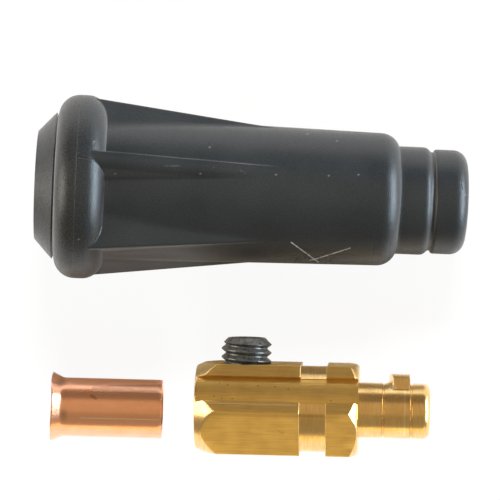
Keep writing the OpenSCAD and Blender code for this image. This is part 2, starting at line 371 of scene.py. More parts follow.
def sleeve_bore_rows(angles):
    """The hollow, from the cable end forward to the mouth."""
    pocket_x = MOUTH_LEN + HEX_LEN + 2 * POCKET_GAP
    back = [(SLEEVE_LEN, END_BORE_R), (NOTCH_X + BORE_STEP, END_BORE_R), (NOTCH_X, COLLAR_BORE_R)]
    back += [(COLLAR_X + BORE_STEP, COLLAR_BORE_R), (COLLAR_X, PASSAGE_R)]
    back += [(pocket_x + SHOULDER_LEN, PASSAGE_R), (pocket_x, CABLE_END_R)]
    rows = round_rows(back, angles)
    wall = []
    for angle in angles:
        r = hex_radius(angle, HEX_AF + 2 * POCKET_GAP)
        if abs(away(angle, CHANNEL_AT)) < key_half_angle():
            r = min(r, CHANNEL_R + POCKET_GAP)
        wall.append(r)
    rib_x = MOUTH_LEN + POCKET_GAP + FLANGE_LEN + POCKET_GAP
    rib_end = rib_x + GROOVE_W - 2 * POCKET_GAP
    ribbed = [min(r, GROOVE_R + POCKET_GAP) for r in wall]
    mouth_r = FLANGE_FACE_R + POCKET_GAP
    for x, radii in ((pocket_x, wall), (rib_end, wall), (rib_end, ribbed), (rib_x, ribbed),
                     (rib_x, wall), (MOUTH_LEN, wall), (MOUTH_LEN, [mouth_r] * len(wall))):
        rows.append([(x, r) for r in radii])
    return rows + round_rows([(MOUTH_CHAMFER, mouth_r), (0, mouth_r + MOUTH_CHAMFER)], angles)


def make_sleeve():
    """The rubber moulding. Its columns crowd at the fins' crests and feet, the pocket's corners
    and the key's sides."""
    crest = (0, 0.6, 1.2, 1.8, 2.4, 3.2, 4, 4.6, 5.1, 5.4, 5.7, 6.1, 6.6, 7.2)
    extra = list(range(0, 360, 60))
    for i, fin in enumerate(FINS):
        foot = 10 if i % NARROW_EVERY == 0 else 21
        for side in (-1, 1):
            extra += [fin + side * a for a in crest]
            extra += [fin + side * (foot + a) for a in (-2, -1, 0, 1, 2, 3)]
    for side in (-1, 1):
        extra += [CHANNEL_AT + side * (key_half_angle() + a) for a in (-0.05, 0.05)]
    angles = columns(2, extra)
    rows = round_rows(nose_points(), angles) + body_rows(angles)
    rows += round_rows(collar_points(), angles) + sleeve_bore_rows(angles)
    mesh = ring_mesh("sleeve_moulding", rows, angles, loop=True)
    place = at_mount(mounts["cable_entry"], (NOTCH_X + BORE_STEP + SLEEVE_LEN) / 2)
    return add("sleeve_moulding", mesh, place, 40)


# The contact

GROOVE_X = HEX_LEN - FLANGE_LEN - GROOVE_W
# Directions, off the channel's middle, that stand for a side wall's foot, top and edge
WALL_FOOT, WALL_TOP, WALL_EDGE = 18.5, 18.6, 18.7


def hex_outline(angle):
    """Radius of the hexagon bar with its key channel."""
    off = abs(away(angle, CHANNEL_AT))
    if off < (WALL_FOOT + WALL_TOP) / 2:
        return CHANNEL_R
    if off < (WALL_TOP + WALL_EDGE) / 2:
        return math.hypot(HEX_AF / 2, CHANNEL_W / 2) - EDGE
    if off < WALL_EDGE + 0.1:
        return math.hypot(HEX_AF / 2, CHANNEL_W / 2 + EDGE)
    return hex_radius(angle, HEX_AF, 0.25)


def seat_walls(rows, angles):
    """Keeps the channel's side walls parallel: their points leave their directions."""
    for j, angle in enumerate(angles):
        off = away(angle, CHANNEL_AT)
        if not WALL_FOOT - 0.05 < abs(off) < WALL_EDGE + 0.05:
            continue
        offset = CHANNEL_W / 2 + (EDGE if abs(off) > (WALL_TOP + WALL_EDGE) / 2 else 0)
        for row in rows:
            x, r = row[j]
            if r > CABLE_END_R - EDGE / 2:
                side = math.degrees(math.asin(offset / r))
                row[j] = (x, r, CHANNEL_AT + math.copysign(side, off))
    return rows


def lug_radius(x, angle):
    """Radius of the lug and its fillet, x being counted from the flange."""
    off = abs(away(angle, LUG_AT))
    if off > 40:
        return 0
    side = LUG_W / 2 / max(sin(off), 0.01)
    foot = LUG_FROM - LUG_FILLET
    if x <= foot or x >= LUG_FROM + LUG_LEN:
        return 0
    top = LUG_R
    if x < LUG_FROM:
        top = PIN_R + LUG_FILLET - math.sqrt(max(LUG_FILLET ** 2 - (x - foot) ** 2, 0))
    return min(top, side)


def contact_rows(angles):
    """The contact from the bottom of its cable bore, round its cable end, to the pin's tip."""
    axis_x = CABLE_BORE_LEN + CABLE_BORE_R / tan(DRILL_ANGLE)
    inner = [(axis_x - 0.05, 0.08), (CABLE_BORE_LEN, CABLE_BORE_R)]
    inner += stretch((CABLE_BORE_LEN - 0.1, CABLE_BORE_R), (BORE_CHAMFER, CABLE_BORE_R), 8)
    inner += [(BORE_CHAMFER, CABLE_BORE_R), (0, CABLE_BORE_R + BORE_CHAMFER)]
    inner += [(0, CABLE_END_R - EDGE)]
    rows = round_rows(inner, angles)
    outline = [hex_outline(a) for a in angles]
    slope = tan(CABLE_CHAMFER)
    crease = [max(r - CABLE_END_R, 0) / slope for r in outline]
    for share in (0, 0.25, 0.5, 0.75):
        xs = [EDGE + (c - EDGE) * share for c in crease]
        rows.append([(x, CABLE_END_R + x * slope) for x in xs])
    rows.append([(c - EDGE, r - EDGE * slope) for c, r in zip(crease, outline)])
    for share in (0, 0.2, 0.4, 0.6, 0.8, 1):
        xs = [c + EDGE + (GROOVE_X - 2 * EDGE - c) * share for c in crease]
        rows.append(list(zip(xs, outline)))
    grooved = [min(r, GROOVE_R) for r in outline]
    end_x = GROOVE_X + GROOVE_W
    rows.append([(GROOVE_X, max(r - EDGE, min(r, GROOVE_R))) for r in outline])
    rows.append([(GROOVE_X + 0.01, r) for r in grooved])
    rows += [[(GROOVE_X + GROOVE_W * i / 4, r) for r in grooved] for i in (1, 2, 3)]
    rows.append([(end_x - 0.01, r) for r in grooved])
    rows.append([(end_x, max(r - EDGE, min(r, GROOVE_R))) for r in outline])
    front = [HEX_LEN - max(r - FLANGE_FACE_R, 0) for r in outline]
    for share in (0, 0.3, 0.6, 1):
        xs = [end_x + EDGE + (f - end_x - 2 * EDGE) * share for f in front]
        rows.append(list(zip(xs, outline)))
    for share in (0.15, 0.5, 0.85):
        row = []
        for f, r in zip(front, outline):
            deep = HEX_LEN - f
            row.append((f + deep * share, min(r, FLANGE_FACE_R + deep * (1 - share))))
        rows.append(row)
    face = [min(r, FLANGE_FACE_R) for r in outline]
    for share in (0.03, 0.3, 0.6, 0.9):
        rows.append([(HEX_LEN, r + (PIN_R - r) * share) for r in face])
    return seat_walls(rows, angles) + pin_rows(angles)


def pin_rows(angles):
    """The pin: turned lines on both sides of the lug, and a rounded tip."""
    def line(x):
        deep = PIN_R - LINE_DEEP
        half = LINE_W / 2
        return [(x - half, PIN_R), (x - half * 0.6, deep),
                (x + half * 0.6, deep), (x + half, PIN_R)]

    foot = LUG_FROM - LUG_FILLET
    end = LUG_FROM + LUG_LEN
    plain = [(0, PIN_R), (0.2, PIN_R)]
    plain += stretch((0.4, PIN_R), (foot - LINE_W * 1.5, PIN_R), 3)
    plain += line(foot - LINE_W * 0.75)
    plain += [(foot - 0.05, PIN_R)]
    xs = [foot + LUG_FILLET * i / 8 for i in range(8)]
    xs += [LUG_FROM - 0.01, LUG_FROM + 0.01, LUG_FROM + EDGE]
    xs += [LUG_FROM + LUG_LEN * i / 4 for i in (1, 2, 3)]
    xs += [end - EDGE, end - 0.01, end + 0.01]
    after = line(end + LINE_W * 0.75)
    after += stretch((end + 2 * LINE_W, PIN_R), (PIN_LEN - PIN_ROUND, PIN_R), 3)
    after += arc(PIN_LEN - PIN_ROUND, PIN_R - PIN_ROUND, PIN_ROUND, 90, 0, 8)
    after += stretch((PIN_LEN, PIN_R - PIN_ROUND - 0.3), (PIN_LEN, 0.5), 3)
    rows = round_rows([(HEX_LEN + x, r) for x, r in plain], angles)
    for x in xs:
        row = []
        for angle in angles:
            off = away(angle, LUG_AT)
            lug = lug_radius(x, angle)
            if LUG_FROM + EDGE > x > LUG_FROM or end > x > end - EDGE / 2:
                lug -= EDGE
            r = max(PIN_R, lug)
            share = max(1 - x / end, 0) * 2.4 if x > LUG_FROM else 1
            slant = LUG_SLANT * r * sin(max(min(off, 35), -35)) / LUG_W * min(share, 1)
            fade = min(max((55 - abs(off)) / 15, 0), 1) if x < LUG_FROM + LUG_LEN / 2 else 0
            row.append((HEX_LEN + x - slant * fade, r))
        rows.append(row)
    return rows + round_rows([(HEX_LEN + x, r) for x, r in after], angles)


def make_contact():
    """The brass turning. Its columns crowd at the hexagon's corners, the channel and the lug."""
    extra = []
    for corner in range(0, 360, 60):
        extra += [corner + a for a in (-0.6, -0.3, 0, 0.3, 0.6)]
    for side in (-1, 1):
        extra += [CHANNEL_AT + side * a for a in (17.2, WALL_FOOT, WALL_TOP, WALL_EDGE, 20.2)]
        extra += [LUG_AT + side * a for a in (23.5, 24.1, 25, 27, 29, 31, 33.1, 34)]
    angles = columns(2, extra)
    mesh = ring_mesh("contact_turning", contact_rows(angles), angles, poles=True)
    pin_middle = (LUG_FROM + LUG_LEN + 1.25 * LINE_W + PIN_LEN - PIN_ROUND) / 2
    place = at_mount(mounts["pin"], HEX_LEN + pin_middle)
    return add("contact_turning", with_screw_hole(mesh), place)


def with_screw_hole(solid):
    """Cuts the set screw's hole, with a small countersink, through the flat it stands in."""
    steps = 96
    top = HEX_AF / 2
    r = SCREW_R + SCREW_GAP
    levels = [(HOLE_FOOT, r), (top - HOLE_SINK, r), (top - HOLE_SINK + 1, r + 1)]
    verts = []
    for y, radius in levels:
        for i in range(steps):
            a = 360 * i / steps
            verts.append(((SCREW_FROM + radius * sin(a)) * MM, y * MM, radius * cos(a) * MM))
    faces = [tuple(reversed(range(steps))), tuple(range(2 * steps, 3 * steps))]
    for k in range(2):
        for i in range(steps):
            a, b = k * steps + i, k * steps + (i + 1) % steps
            faces.append((a, b, b + steps, a + steps))
    mesh = bpy.data.meshes.new("drill")
    mesh.from_pydata(verts, [], faces)
    drill = bpy.data.objects.new("drill", mesh)
    piece = bpy.data.objects.new("contact_blank", solid)
    bpy.context.collection.objects.link(drill)
    bpy.context.collection.objects.link(piece)
    cut = piece.modifiers.new("screw_hole", "BOOLEAN")
    cut.operation = "DIFFERENCE"
    cut.solver = "EXACT"
    cut.object = drill
    bpy.context.view_layer.update()
    graph = bpy.context.evaluated_depsgraph_get()
    result = bpy.data.meshes.new_from_object(piece.evaluated_get(graph))
    bpy.data.objects.remove(drill)
    bpy.data.objects.remove(piece)
    return result


# The set screw

def make_screw():
    """A right-hand thread: its rows follow the helix, and its ends are cut to the length."""
    around = 96
    per_turn = 16
    crest_half = THREAD_PITCH / 16
    end_r = SCREW_R - SCREW_CHAMFER
    angles = [360 * i / around for i in range(around)]

    def thread(share):
        """Radius of the thread at a share of its pitch, with the crest in the middle."""
        off = abs(share - 0.5) * THREAD_PITCH
        deep = (off - crest_half) / (THREAD_PITCH / 2 - 2 * crest_half)
        return SCREW_R - THREAD_DEEP * min(max(deep, 0), 1)

    def ring(row):
        return [(x * MM, r * sin(a) * MM, r * cos(a) * MM) for (x, r), a in zip(row, angles)]

    turns = math.ceil(SCREW_LEN / THREAD_PITCH) + 2
    count = turns * per_turn + 1
    points, faces = [], []
    for i in range(count):
        radius = thread((i % per_turn) / per_turn)
        row = []
        for angle in angles:
            x = THREAD_PITCH * (i / per_turn - 1 + angle / 360)
            inside = min(max(x, 0), SCREW_LEN)
            row.append((inside, min(radius, end_r + min(inside, SCREW_LEN - inside))))
        points += ring(row)
    for i in range(count - 1):
        for j in range(around):
            a, d = i * around + j, (i + 1) * around + j
            if j + 1 < around:
                faces.append((a, a + 1, d + 1, d))
            elif i + 1 + per_turn < count:
                b, c = (i + per_turn) * around, (i + 1 + per_turn) * around
                faces.append((a, b, c, d))

    # The socket end, from its edge in, and down the hexagon to the drill's cone
    face = [(SCREW_LEN, end_r - 0.02), (SCREW_LEN, end_r - 0.4)]
    socket = round_rows(face + [(SCREW_LEN - deep, r) for deep, r in SOCKET_CONE], angles)
    for deep in (SOCKET_FLATS, SOCKET_DEEP):
        socket.append([(SCREW_LEN - deep, hex_radius(a, SOCKET_AF)) for a in angles])
    base = len(points)
    for row in socket:
        points += ring(row)
    for i in range(len(socket) - 1):
        for j in range(around):
            a, b = base + i * around + j, base + i * around + (j + 1) % around
            faces.append((a, b, b + around, a + around))
    bottom = len(points) - around
    points.append(((SCREW_LEN - SOCKET_DEEP - SOCKET_TIP) * MM, 0, 0))
    cone = len(points) - 1
    faces += [(bottom + j, bottom + (j + 1) % around, cone) for j in range(around)]

    # The plain end inside the contact
    points.append((0, 0, 0))
    centre = len(points) - 1
    edge = centre + 1
    points += ring([(0, end_r - 0.01)] * around)
    faces += [(edge + (j + 1) % around, edge + j, centre) for j in range(around)]

    mesh = bpy.data.meshes.new("set_screw_thread")
    mesh.from_pydata(points, [], faces)
    top = Vector(mounts["key_socket"]["pos_m"])
    turned = Matrix.Rotation(math.radians(90), 4, "Z")
    place = Matrix.Translation(top - Vector((0, SCREW_LEN * MM, 0))) @ turned
    return add("set_screw_thread", mesh, place, 35)


# The ferrule

def make_ferrule():
    """The copper tube with its mouth flared by hand."""
    angles = columns(3, [])
    inner_r = FERRULE_R - FERRULE_WALL

    def flare(angle):
        """How far the mouth departs from a true circle."""
        return 0.16 * sin(2 * angle + 40) + 0.1 * sin(3 * angle + 110) + 0.06 * sin(5 * angle)

    points = [(0, FLARE_R), (0.15, FLARE_R - 0.02)]
    points += stretch((0.4, FLARE_R - 0.15), (FLARE_LEN + 0.2, FERRULE_R + 0.02), 8)
    points += stretch((FLARE_LEN + 0.6, FERRULE_R), (FERRULE_LEN - 0.2, FERRULE_R), 20)
    points += [(FERRULE_LEN - 0.1, FERRULE_R), (FERRULE_LEN, FERRULE_R - 0.08)]
    points += [(FERRULE_LEN, inner_r + 0.08), (FERRULE_LEN - 0.1, inner_r)]
    points += stretch((FERRULE_LEN - 0.5, inner_r), (FLARE_LEN + 0.6, inner_r), 8)
    points += stretch((FLARE_LEN, inner_r + 0.05), (0, FLARE_R - FERRULE_WALL), 6)
    points += [(-0.05, FLARE_R - FERRULE_WALL / 2)]
    rows = []
    for x, r in points:
        share = max(1 - x / (FLARE_LEN + 1), 0)
        rows.append([(x + flare(a) * share, r + flare(a) * share * 0.5) for a in angles])
    mesh = ring_mesh("ferrule_tube", rows, angles, loop=True)
    place = at_mount(mounts["ferrule_bore"], (FLARE_LEN + FERRULE_LEN) / 2, -1)
    return add("ferrule_tube", mesh, place, 40)


# Materials

class Nodes:
    """A material's node tree, with short calls for the nodes that it needs."""

    def __init__(self, name):
        self.material = bpy.data.materials.new(name)
        self.material.use_nodes = True
        self.tree = self.material.node_tree
        self.tree.nodes.clear()
        self.output = self.add("ShaderNodeOutputMaterial")
        self.shader = self.add("ShaderNodeBsdfPrincipled")
        self.link(self.shader.outputs["BSDF"], self.output.inputs["Surface"])
        # The place on the piece, the same as it shows from above, and whether it faces up
        self.place = self.add("ShaderNodeAttribute", attribute_name="own_mm").outputs["Vector"]
        self.seen = self.vector("MULTIPLY", self.place, (1, 1, 0))
        self.upper = self.math("GREATER_THAN", self.axes()[2], 0.0)

    def add(self, kind, **settings):
        made = self.tree.nodes.new(kind)
        for key, value in settings.items():
            setattr(made, key, value)
        return made

    def link(self, source, target):
        self.tree.links.new(source, target)

    def put(self, value, target):
        """Links a socket, or sets a plain value."""
        if isinstance(value, bpy.types.NodeSocket):
            self.link(value, target)
        else:
            target.default_value = value

    def math(self, operation, a, b=0.0, c=0.0, clamp=False):
        made = self.add("ShaderNodeMath", operation=operation, use_clamp=clamp)
        for value, target in zip((a, b, c), made.inputs):
            self.put(value, target)
        return made.outputs[0]

    def vector(self, operation, a, b=(0, 0, 0)):
        made = self.add("ShaderNodeVectorMath", operation=operation)
        self.put(a, made.inputs[0])
        self.put(b, made.inputs[1])
        return made.outputs["Value" if operation in ("LENGTH", "DOT_PRODUCT") else "Vector"]

    def axes(self):
        split = self.add("ShaderNodeSeparateXYZ")
        self.link(self.place, split.inputs[0])
        return split.outputs

    def noise(self, size, stretch_by=(1, 1, 1), detail=3, rough=0.5, low=0.3, high=0.7):
        """Noise whose grains are about size millimetres, spread to the range 0 to 1."""
        made = self.add("ShaderNodeTexNoise")
        made.inputs["Scale"].default_value = 1 / size
        made.inputs["Detail"].default_value = detail
        made.inputs["Roughness"].default_value = rough
        self.link(self.vector("MULTIPLY", self.place, stretch_by), made.inputs["Vector"])
        return self.spread(made.outputs["Fac"], low, high)

    def spread(self, value, low, high, to_low=0.0, to_high=1.0):
        """The value's range from low to high brought to another range, and held inside it."""
        made = self.add("ShaderNodeMapRange")
        made.clamp = True
        self.put(value, made.inputs[0])
        for number, target in zip((low, high, to_low, to_high), made.inputs[1:5]):
            target.default_value = number
        return made.outputs[0]

    def mix(self, share, a, b):
        made = self.add("ShaderNodeMix", data_type="RGBA")
        self.put(share, made.inputs[0])
        self.put(rgb(a), made.inputs[6])
        self.put(rgb(b), made.inputs[7])
        return made.outputs[2]

    def cover(self, color, mask, strength, new):
        """The colour with another over it where the mask is 1."""
        return self.mix(self.math("MULTIPLY", mask, strength), color, new)

    def weighted(self, *parts, start=0.0):
        """The sum of values, each times its weight, on top of start."""
        total = start
        for value, weight in parts:
            total = self.math("MULTIPLY_ADD", value, weight, total)
        return total

    def specks(self, size, share):
        """Sparse round specks, one in most cells of the given size."""
        made = self.add("ShaderNodeTexVoronoi")
        made.inputs["Scale"].default_value = 1 / size
        self.link(self.place, made.inputs["Vector"])
        return self.spread(made.outputs["Distance"], share, share * 0.6)

    def scratch(self, start, end, width):
        """1 on a straight scratch of the upper side, 0 off it. Its ends are seen from above."""
        a, b = Vector((*start, 0)), Vector((*end, 0))
        along = b - a
        offset = self.vector("SUBTRACT", self.seen, tuple(a))
        reach = self.vector("DOT_PRODUCT", offset, tuple(along))
        share = self.math("DIVIDE", reach, along.length_squared, clamp=True)
        nearest = self.add("ShaderNodeVectorMath", operation="SCALE")
        nearest.inputs[0].default_value = tuple(along)
        self.link(share, nearest.inputs["Scale"])
        off = self.vector("LENGTH", self.vector("SUBTRACT", offset, nearest.outputs[0]))
        return self.math("MULTIPLY", self.spread(off, width, width * 0.4), self.upper)

    def scratches(self, lines, width):
        """1 on any of several scratches."""
        total = 0.0
        for start, end in lines:
            total = self.math("MAXIMUM", total, self.scratch(start, end, width))
        return total

    def dots(self, points, width):
        """1 on single specks, each a little longer than wide."""
        return self.scratches([((x, y), (x + width, y + width / 2)) for x, y in points], width)

    def patch(self, centre, half, soft=0.5):
        """1 in an oval patch of the upper side, fading out towards its border."""
        offset = self.vector("SUBTRACT", self.seen, (*centre, 0))
        off = self.vector("LENGTH", self.vector("DIVIDE", offset, (*half, 1)))
        return self.math("MULTIPLY", self.spread(off, 1, 1 - soft), self.upper)

    def bump(self, height, strength, distance):
        made = self.add("ShaderNodeBump")
        made.inputs["Strength"].default_value = strength
        made.inputs["Distance"].default_value = distance * MM
        self.link(height, made.inputs["Height"])
        self.link(made.outputs[0], self.shader.inputs["Normal"])

    def set(self, **values):
        names = {"color": "Base Color", "rough": "Roughness", "metal": "Metallic",
                 "specular": "Specular IOR Level"}
        for key, value in values.items():
            self.put(rgb(value) if key == "color" else value, self.shader.inputs[names[key]])


def rgb(color):
    """A colour with its alpha added, or a socket as it is."""
    return (*color, 1) if isinstance(color, tuple) and len(color) == 3 else color


# Marks on the pieces' upper sides, as (x, y) seen from above. On the sleeve: white specks, fine
# and deep scratches, creases in the rim and the end, tool lines, a rubbed oval, the mould line
# round the rim and the gate's nub
PALE_SPECKS = ((13.3, 10.7), (10.7, -11.7), (8.4, -20.6), (39.7, 10.5), (69.1, 13.2), (62.3, 14.5),
               (55.1, 4.9), (67.2, 5.2), (74.0, 5.7), (18.4, 3.6), (37.8, 4.4))
RUBBER_SCRATCHES = (((29.9, 5.9), (33.1, 6.1)), ((47.0, 5.6), (48.2, 5.0)))
CROSSED_SCRATCHES = (((59.5, -10.5), (66.3, -15.1)), ((64.2, -14.8), (73.1, -11.3)))
CREASES = (((9.6, 7.2), (13.3, 6.8)), ((98.0, 4.7), (98.3, 3.5)))
TOOL_LINES = (((78.4, -9.7), (78.4, -14.8)), ((82.2, -9.5), (82.2, -14.7)))
SCUFF_AT, SCUFF_HALF = (64.9, -14.4), (7.2, 1.9)
MOULD_LINE_X = 9.6
GATE_AT, GATE_HALF = (99.6, 2.2), (0.7, 0.6)


def rubber():
    """Black rubber: fine moulded grain, coarser and browner on the nose and rim, with its marks."""
    m = Nodes("moulded_rubber")
    x = m.axes()[0]
    cloud = m.noise(14, detail=2)
    fine = m.noise(0.35, detail=4, rough=0.6)
    grain = m.noise(0.28, detail=2, rough=0.7, low=0.5, high=0.72)
    turned = m.noise(1, (4, 0.25, 0.25), detail=3)
    mould_line = m.spread(m.math("ABSOLUTE", m.math("SUBTRACT", x, MOULD_LINE_X)), 0.14, 0.05)
    specks = m.math("MAXIMUM", m.specks(3.5, 0.03), m.dots(PALE_SPECKS, 0.22))
    worn = m.math("MULTIPLY", m.scratches(RUBBER_SCRATCHES, 0.2), m.noise(0.5, low=0.35, high=0.6))
    crossed = m.scratches(CROSSED_SCRATCHES, 0.17)
    scuff = m.math("MULTIPLY", m.patch(SCUFF_AT, SCUFF_HALF), m.noise(0.7, low=0.45, high=0.55))

    color = m.mix(cloud, (0.009, 0.012, 0.015), (0.013, 0.016, 0.019))
    color = m.cover(color, grain, m.spread(x, 13, 8, 0.12, 0.8), (0.034, 0.028, 0.021))
    color = m.cover(color, mould_line, 0.5, (0.030, 0.026, 0.022))
    color = m.cover(color, specks, 0.35, (0.22, 0.22, 0.21))
    color = m.cover(color, worn, 0.45, (0.10, 0.10, 0.10))
    color = m.cover(color, crossed, m.noise(0.8, low=0.2, high=0.6), (0.40, 0.40, 0.38))
    rough = m.weighted((fine, 0.04), (cloud, 0.06), (turned, 0.07), (scuff, 0.16), start=0.27)
    uneven = m.math("SUBTRACT", fine, 0.5)
    m.set(color=color, rough=rough, metal=0.0,
          specular=m.weighted((uneven, m.spread(x, 15, 8, 0.16, 0.5)), start=0.48))
    m.bump(m.weighted((fine, 0.5), (mould_line, 0.8), (m.scratches(CREASES, 0.2), -3.0),
                      (m.patch(GATE_AT, GATE_HALF), 2.0), (m.scratches(TOOL_LINES, 0.3), -0.5),
                      (scuff, -3.0)), 0.6, 0.08)
    return m.material


# On the contact: pits, a dark scratch, a painted shadow along the channel's upper wall, painted
# glints along the channel's lower edge and across the pin, the dark streak along its upper corner
# and a pale patch by the lug's foot
BRASS_PITS = ((5.8, 6.1), (7.7, 5.9), (14.8, 5.9), (18.8, 5.7), (21.9, 5.2), (4.6, 3.3), (6.5, 2.8),
              (8.9, 2.8), (31.9, 2.8))
# The long line paints the shadow along the channel's upper wall; the short one is a scratch
SCRATCH_AND_CHANNEL_SHADOW = (((19.5, -4.2), (21.0, -5.0)), ((2.0, 7.7), (24.5, 7.7)))
# Painted glints: one along the channel's lower edge, one across the pin
PAINTED_GLINT_LINES = (((1.5, 1.9), (24.0, 1.8)), ((49.2, 5.5), (49.2, -5.5)))
CORNER_STREAK_AT, CORNER_STREAK_HALF = (19.0, -0.7), (21.0, 0.6)
# A pale patch on the pin by the lug's foot
PIN_PALE_PATCH_AT, PIN_PALE_PATCH_HALF = (46.2, 5.6), (1.3, 0.9)


def brass(name, grain, dark, light, rough_low, rough_high, relief):
    """Brass with a grain along or round the piece."""
    m = Nodes(name)
    lines = m.noise(1, grain, detail=4, rough=0.6)
    cloud = m.noise(5, detail=2)
    share = m.weighted((lines, 0.6), (cloud, 0.4))
    streak = m.patch(CORNER_STREAK_AT, CORNER_STREAK_HALF)
    # Dark: the corner streak, a scratch and the painted shadow along the channel's upper wall
    dark_marks_and_channel_shadow = m.math("MAXIMUM", streak, m.scratches(SCRATCH_AND_CHANNEL_SHADOW, 0.16))
    # Pale: painted glints, and a pale patch by the lug's foot
    glints_and_pale_patch = m.math("MAXIMUM", m.scratches(PAINTED_GLINT_LINES, 0.2), m.patch(PIN_PALE_PATCH_AT, PIN_PALE_PATCH_HALF))
    pits = m.math("MAXIMUM", m.specks(1.7, 0.03), m.dots(BRASS_PITS, 0.16))
    color = m.mix(share, dark, light)
    color = m.cover(color, dark_marks_and_channel_shadow, 0.4, (0.30, 0.17, 0.05))
    color = m.cover(color, glints_and_pale_patch, 0.4, (0.98, 0.86, 0.62))
    color = m.cover(color, pits, 0.7, (0.12, 0.07, 0.02))
    m.set(color=color, rough=m.spread(share, 0, 1, rough_high, rough_low), metal=1.0)
    m.bump(lines, relief, 0.03)
    return m.material


# On the ferrule: a painted dark reflection along the tube's top and a short dark mark, painted
# glint lines along the tube, and dark patches just behind the flare
# The two long lines paint a dark reflection along the tube's top; the third is a short dark mark
DARK_REFLECTION_AND_MARK = (((9.8, 5.1), (25.9, 5.9)), ((12.0, 5.2), (25.9, 5.2)), ((9.6, 3.3), (10.6, 2.8)))
# Painted glints along the tube
PAINTED_COPPER_GLINTS = (((9.8, 4.5), (25.9, 4.5)), ((7.0, -1.9), (25.9, -1.9)))
# Dark patches just behind the flare, as centre and half size
FLARE_DARK_PATCHES = (((2.2, 6.3), (1.6, 1.4)), ((3.1, -1.2), (1.2, 2.2)))


def copper():
    """Drawn copper with lines along the tube, a painted dark reflection and painted glints along
    it, and dark patches just behind the flare.
    """
    m = Nodes("drawn_copper")
    lines = m.noise(1, (0.15, 3, 3), detail=4, rough=0.6)
    cloud = m.noise(3, detail=3)
    share = m.weighted((lines, 0.5), (cloud, 0.5))
    color = m.mix(share, (0.92, 0.44, 0.27), (0.98, 0.54, 0.36))
    # A painted dark reflection along the top, and a short dark mark
    color = m.cover(color, m.scratches(DARK_REFLECTION_AND_MARK, 0.5), 0.5, (0.34, 0.17, 0.11))
    for centre, half in FLARE_DARK_PATCHES:
        color = m.cover(color, m.patch(centre, half, 0.8), 0.5, (0.36, 0.20, 0.13))
    # Painted glint lines
    color = m.cover(color, m.scratches(PAINTED_COPPER_GLINTS, 0.16), 0.7, (1.0, 0.84, 0.70))
    m.set(color=color, rough=m.spread(share, 0, 1, 0.3, 0.18), metal=1.0)
    m.bump(lines, 0.1, 0.02)
    return m.material


def black_steel():
    """Blackened steel, unevenly rubbed."""
    m = Nodes("blackened_steel")
    cloud = m.noise(1.2, detail=4)
    m.set(color=m.mix(cloud, (0.04, 0.04, 0.04), (0.12, 0.12, 0.115)),
          rough=m.spread(cloud, 0, 1, 0.22, 0.38), metal=0.6)
    m.bump(cloud, 0.2, 0.03)
    return m.material


def paint_contact(piece):
    """The drawn flats have a grain of their own, the turned rounds and the channel another."""
    turned = brass("turned_brass", (4, 0.3, 0.3), (0.64, 0.41, 0.15), (0.88, 0.63, 0.29),
                   0.16, 0.3, 0.25)
    drawn = brass("drawn_brass", (0.12, 4, 4), (0.52, 0.31, 0.09), (0.84, 0.57, 0.18),
                  0.34, 0.46, 0.4)
    piece.data.materials.clear()
    piece.data.materials.append(turned)
    piece.data.materials.append(drawn)
    own = piece.data.attributes["own_mm"].data
    for polygon in piece.data.polygons:
        corners = [own[i].vector for i in polygon.vertices]
        x, y, z = sum(corners, Vector()) / len(corners)
        r = math.hypot(y, z)
        outline = hex_outline(math.degrees(math.atan2(y, z)) % 360)
        along = abs(polygon.normal[0]) < 0.1
        on_bar = along and 0 < x < HEX_LEN and r > outline - EDGE / 2
        groove = GROOVE_X < x < GROOVE_X + GROOVE_W and CHANNEL_R + 0.05 < r < GROOVE_R + 0.1
        polygon.material_index = 1 if on_bar and not groove else 0


# Stage, lights and camera

# How much of the floor's own white the camera sees, over its lit and shaded colour
FLOOR_WHITE = 0.93
FLOOR_COLOR = (0.87, 0.90, 0.94)
FLOOR_HALF = 4.0
# The studio round the X axis: angles from straight up towards the back, with their colours
STUDIO = (
    (-90, (0.30, 0.26, 0.20)),
    (-18, (0.32, 0.26, 0.16)),
    (-10, (0.46, 0.36, 0.22)),
    (34, (0.50, 0.39, 0.25)),
    (42, (0.21, 0.16, 0.11)),
    (80, (0.19, 0.15, 0.11)),
    (84, (1.20, 1.12, 1.00)),
    (90, (1.20, 1.12, 1.00)),
)
STUDIO_STRENGTH = 1.25
# The even colour at both ends of the X axis, how far along a direction's X it begins and how
# fast it takes over
STUDIO_ENDS = (0.30, 0.29, 0.28)
STUDIO_ENDS_FROM = 0.7
STUDIO_ENDS_BLEND = 4.0


def make_floor():
    """A plain white floor, which keeps a little of the pieces' shadows."""
    mesh = bpy.data.meshes.new("floor")
    half = FLOOR_HALF
    corners = [(-half, -half, 0), (half, -half, 0), (half, half, 0), (-half, half, 0)]
    mesh.from_pydata(corners, [], [(0, 1, 2, 3)])
    floor = bpy.data.objects.new("floor", mesh)
    bpy.context.collection.objects.link(floor)
    material = bpy.data.materials.new("white_floor")
    material.use_nodes = True
    tree = material.node_tree
    tree.nodes.clear()
    out = tree.nodes.new("ShaderNodeOutputMaterial")
    diffuse = tree.nodes.new("ShaderNodeBsdfDiffuse")
    diffuse.inputs["Color"].default_value = (*FLOOR_COLOR, 1)
    glow = tree.nodes.new("ShaderNodeEmission")
    glow.inputs["Color"].default_value = (1, 1, 1, 1)
    path = tree.nodes.new("ShaderNodeLightPath")
    share = tree.nodes.new("ShaderNodeMath")
    share.operation = "MULTIPLY"
    share.inputs[1].default_value = FLOOR_WHITE
    mix = tree.nodes.new("ShaderNodeMixShader")
    tree.links.new(path.outputs["Is Camera Ray"], share.inputs[0])
    tree.links.new(share.outputs[0], mix.inputs[0])
    tree.links.new(diffuse.outputs[0], mix.inputs[1])
    tree.links.new(glow.outputs[0], mix.inputs[2])
    tree.links.new(mix.outputs[0], out.inputs["Surface"])
    mesh.materials.append(material)
    return floor


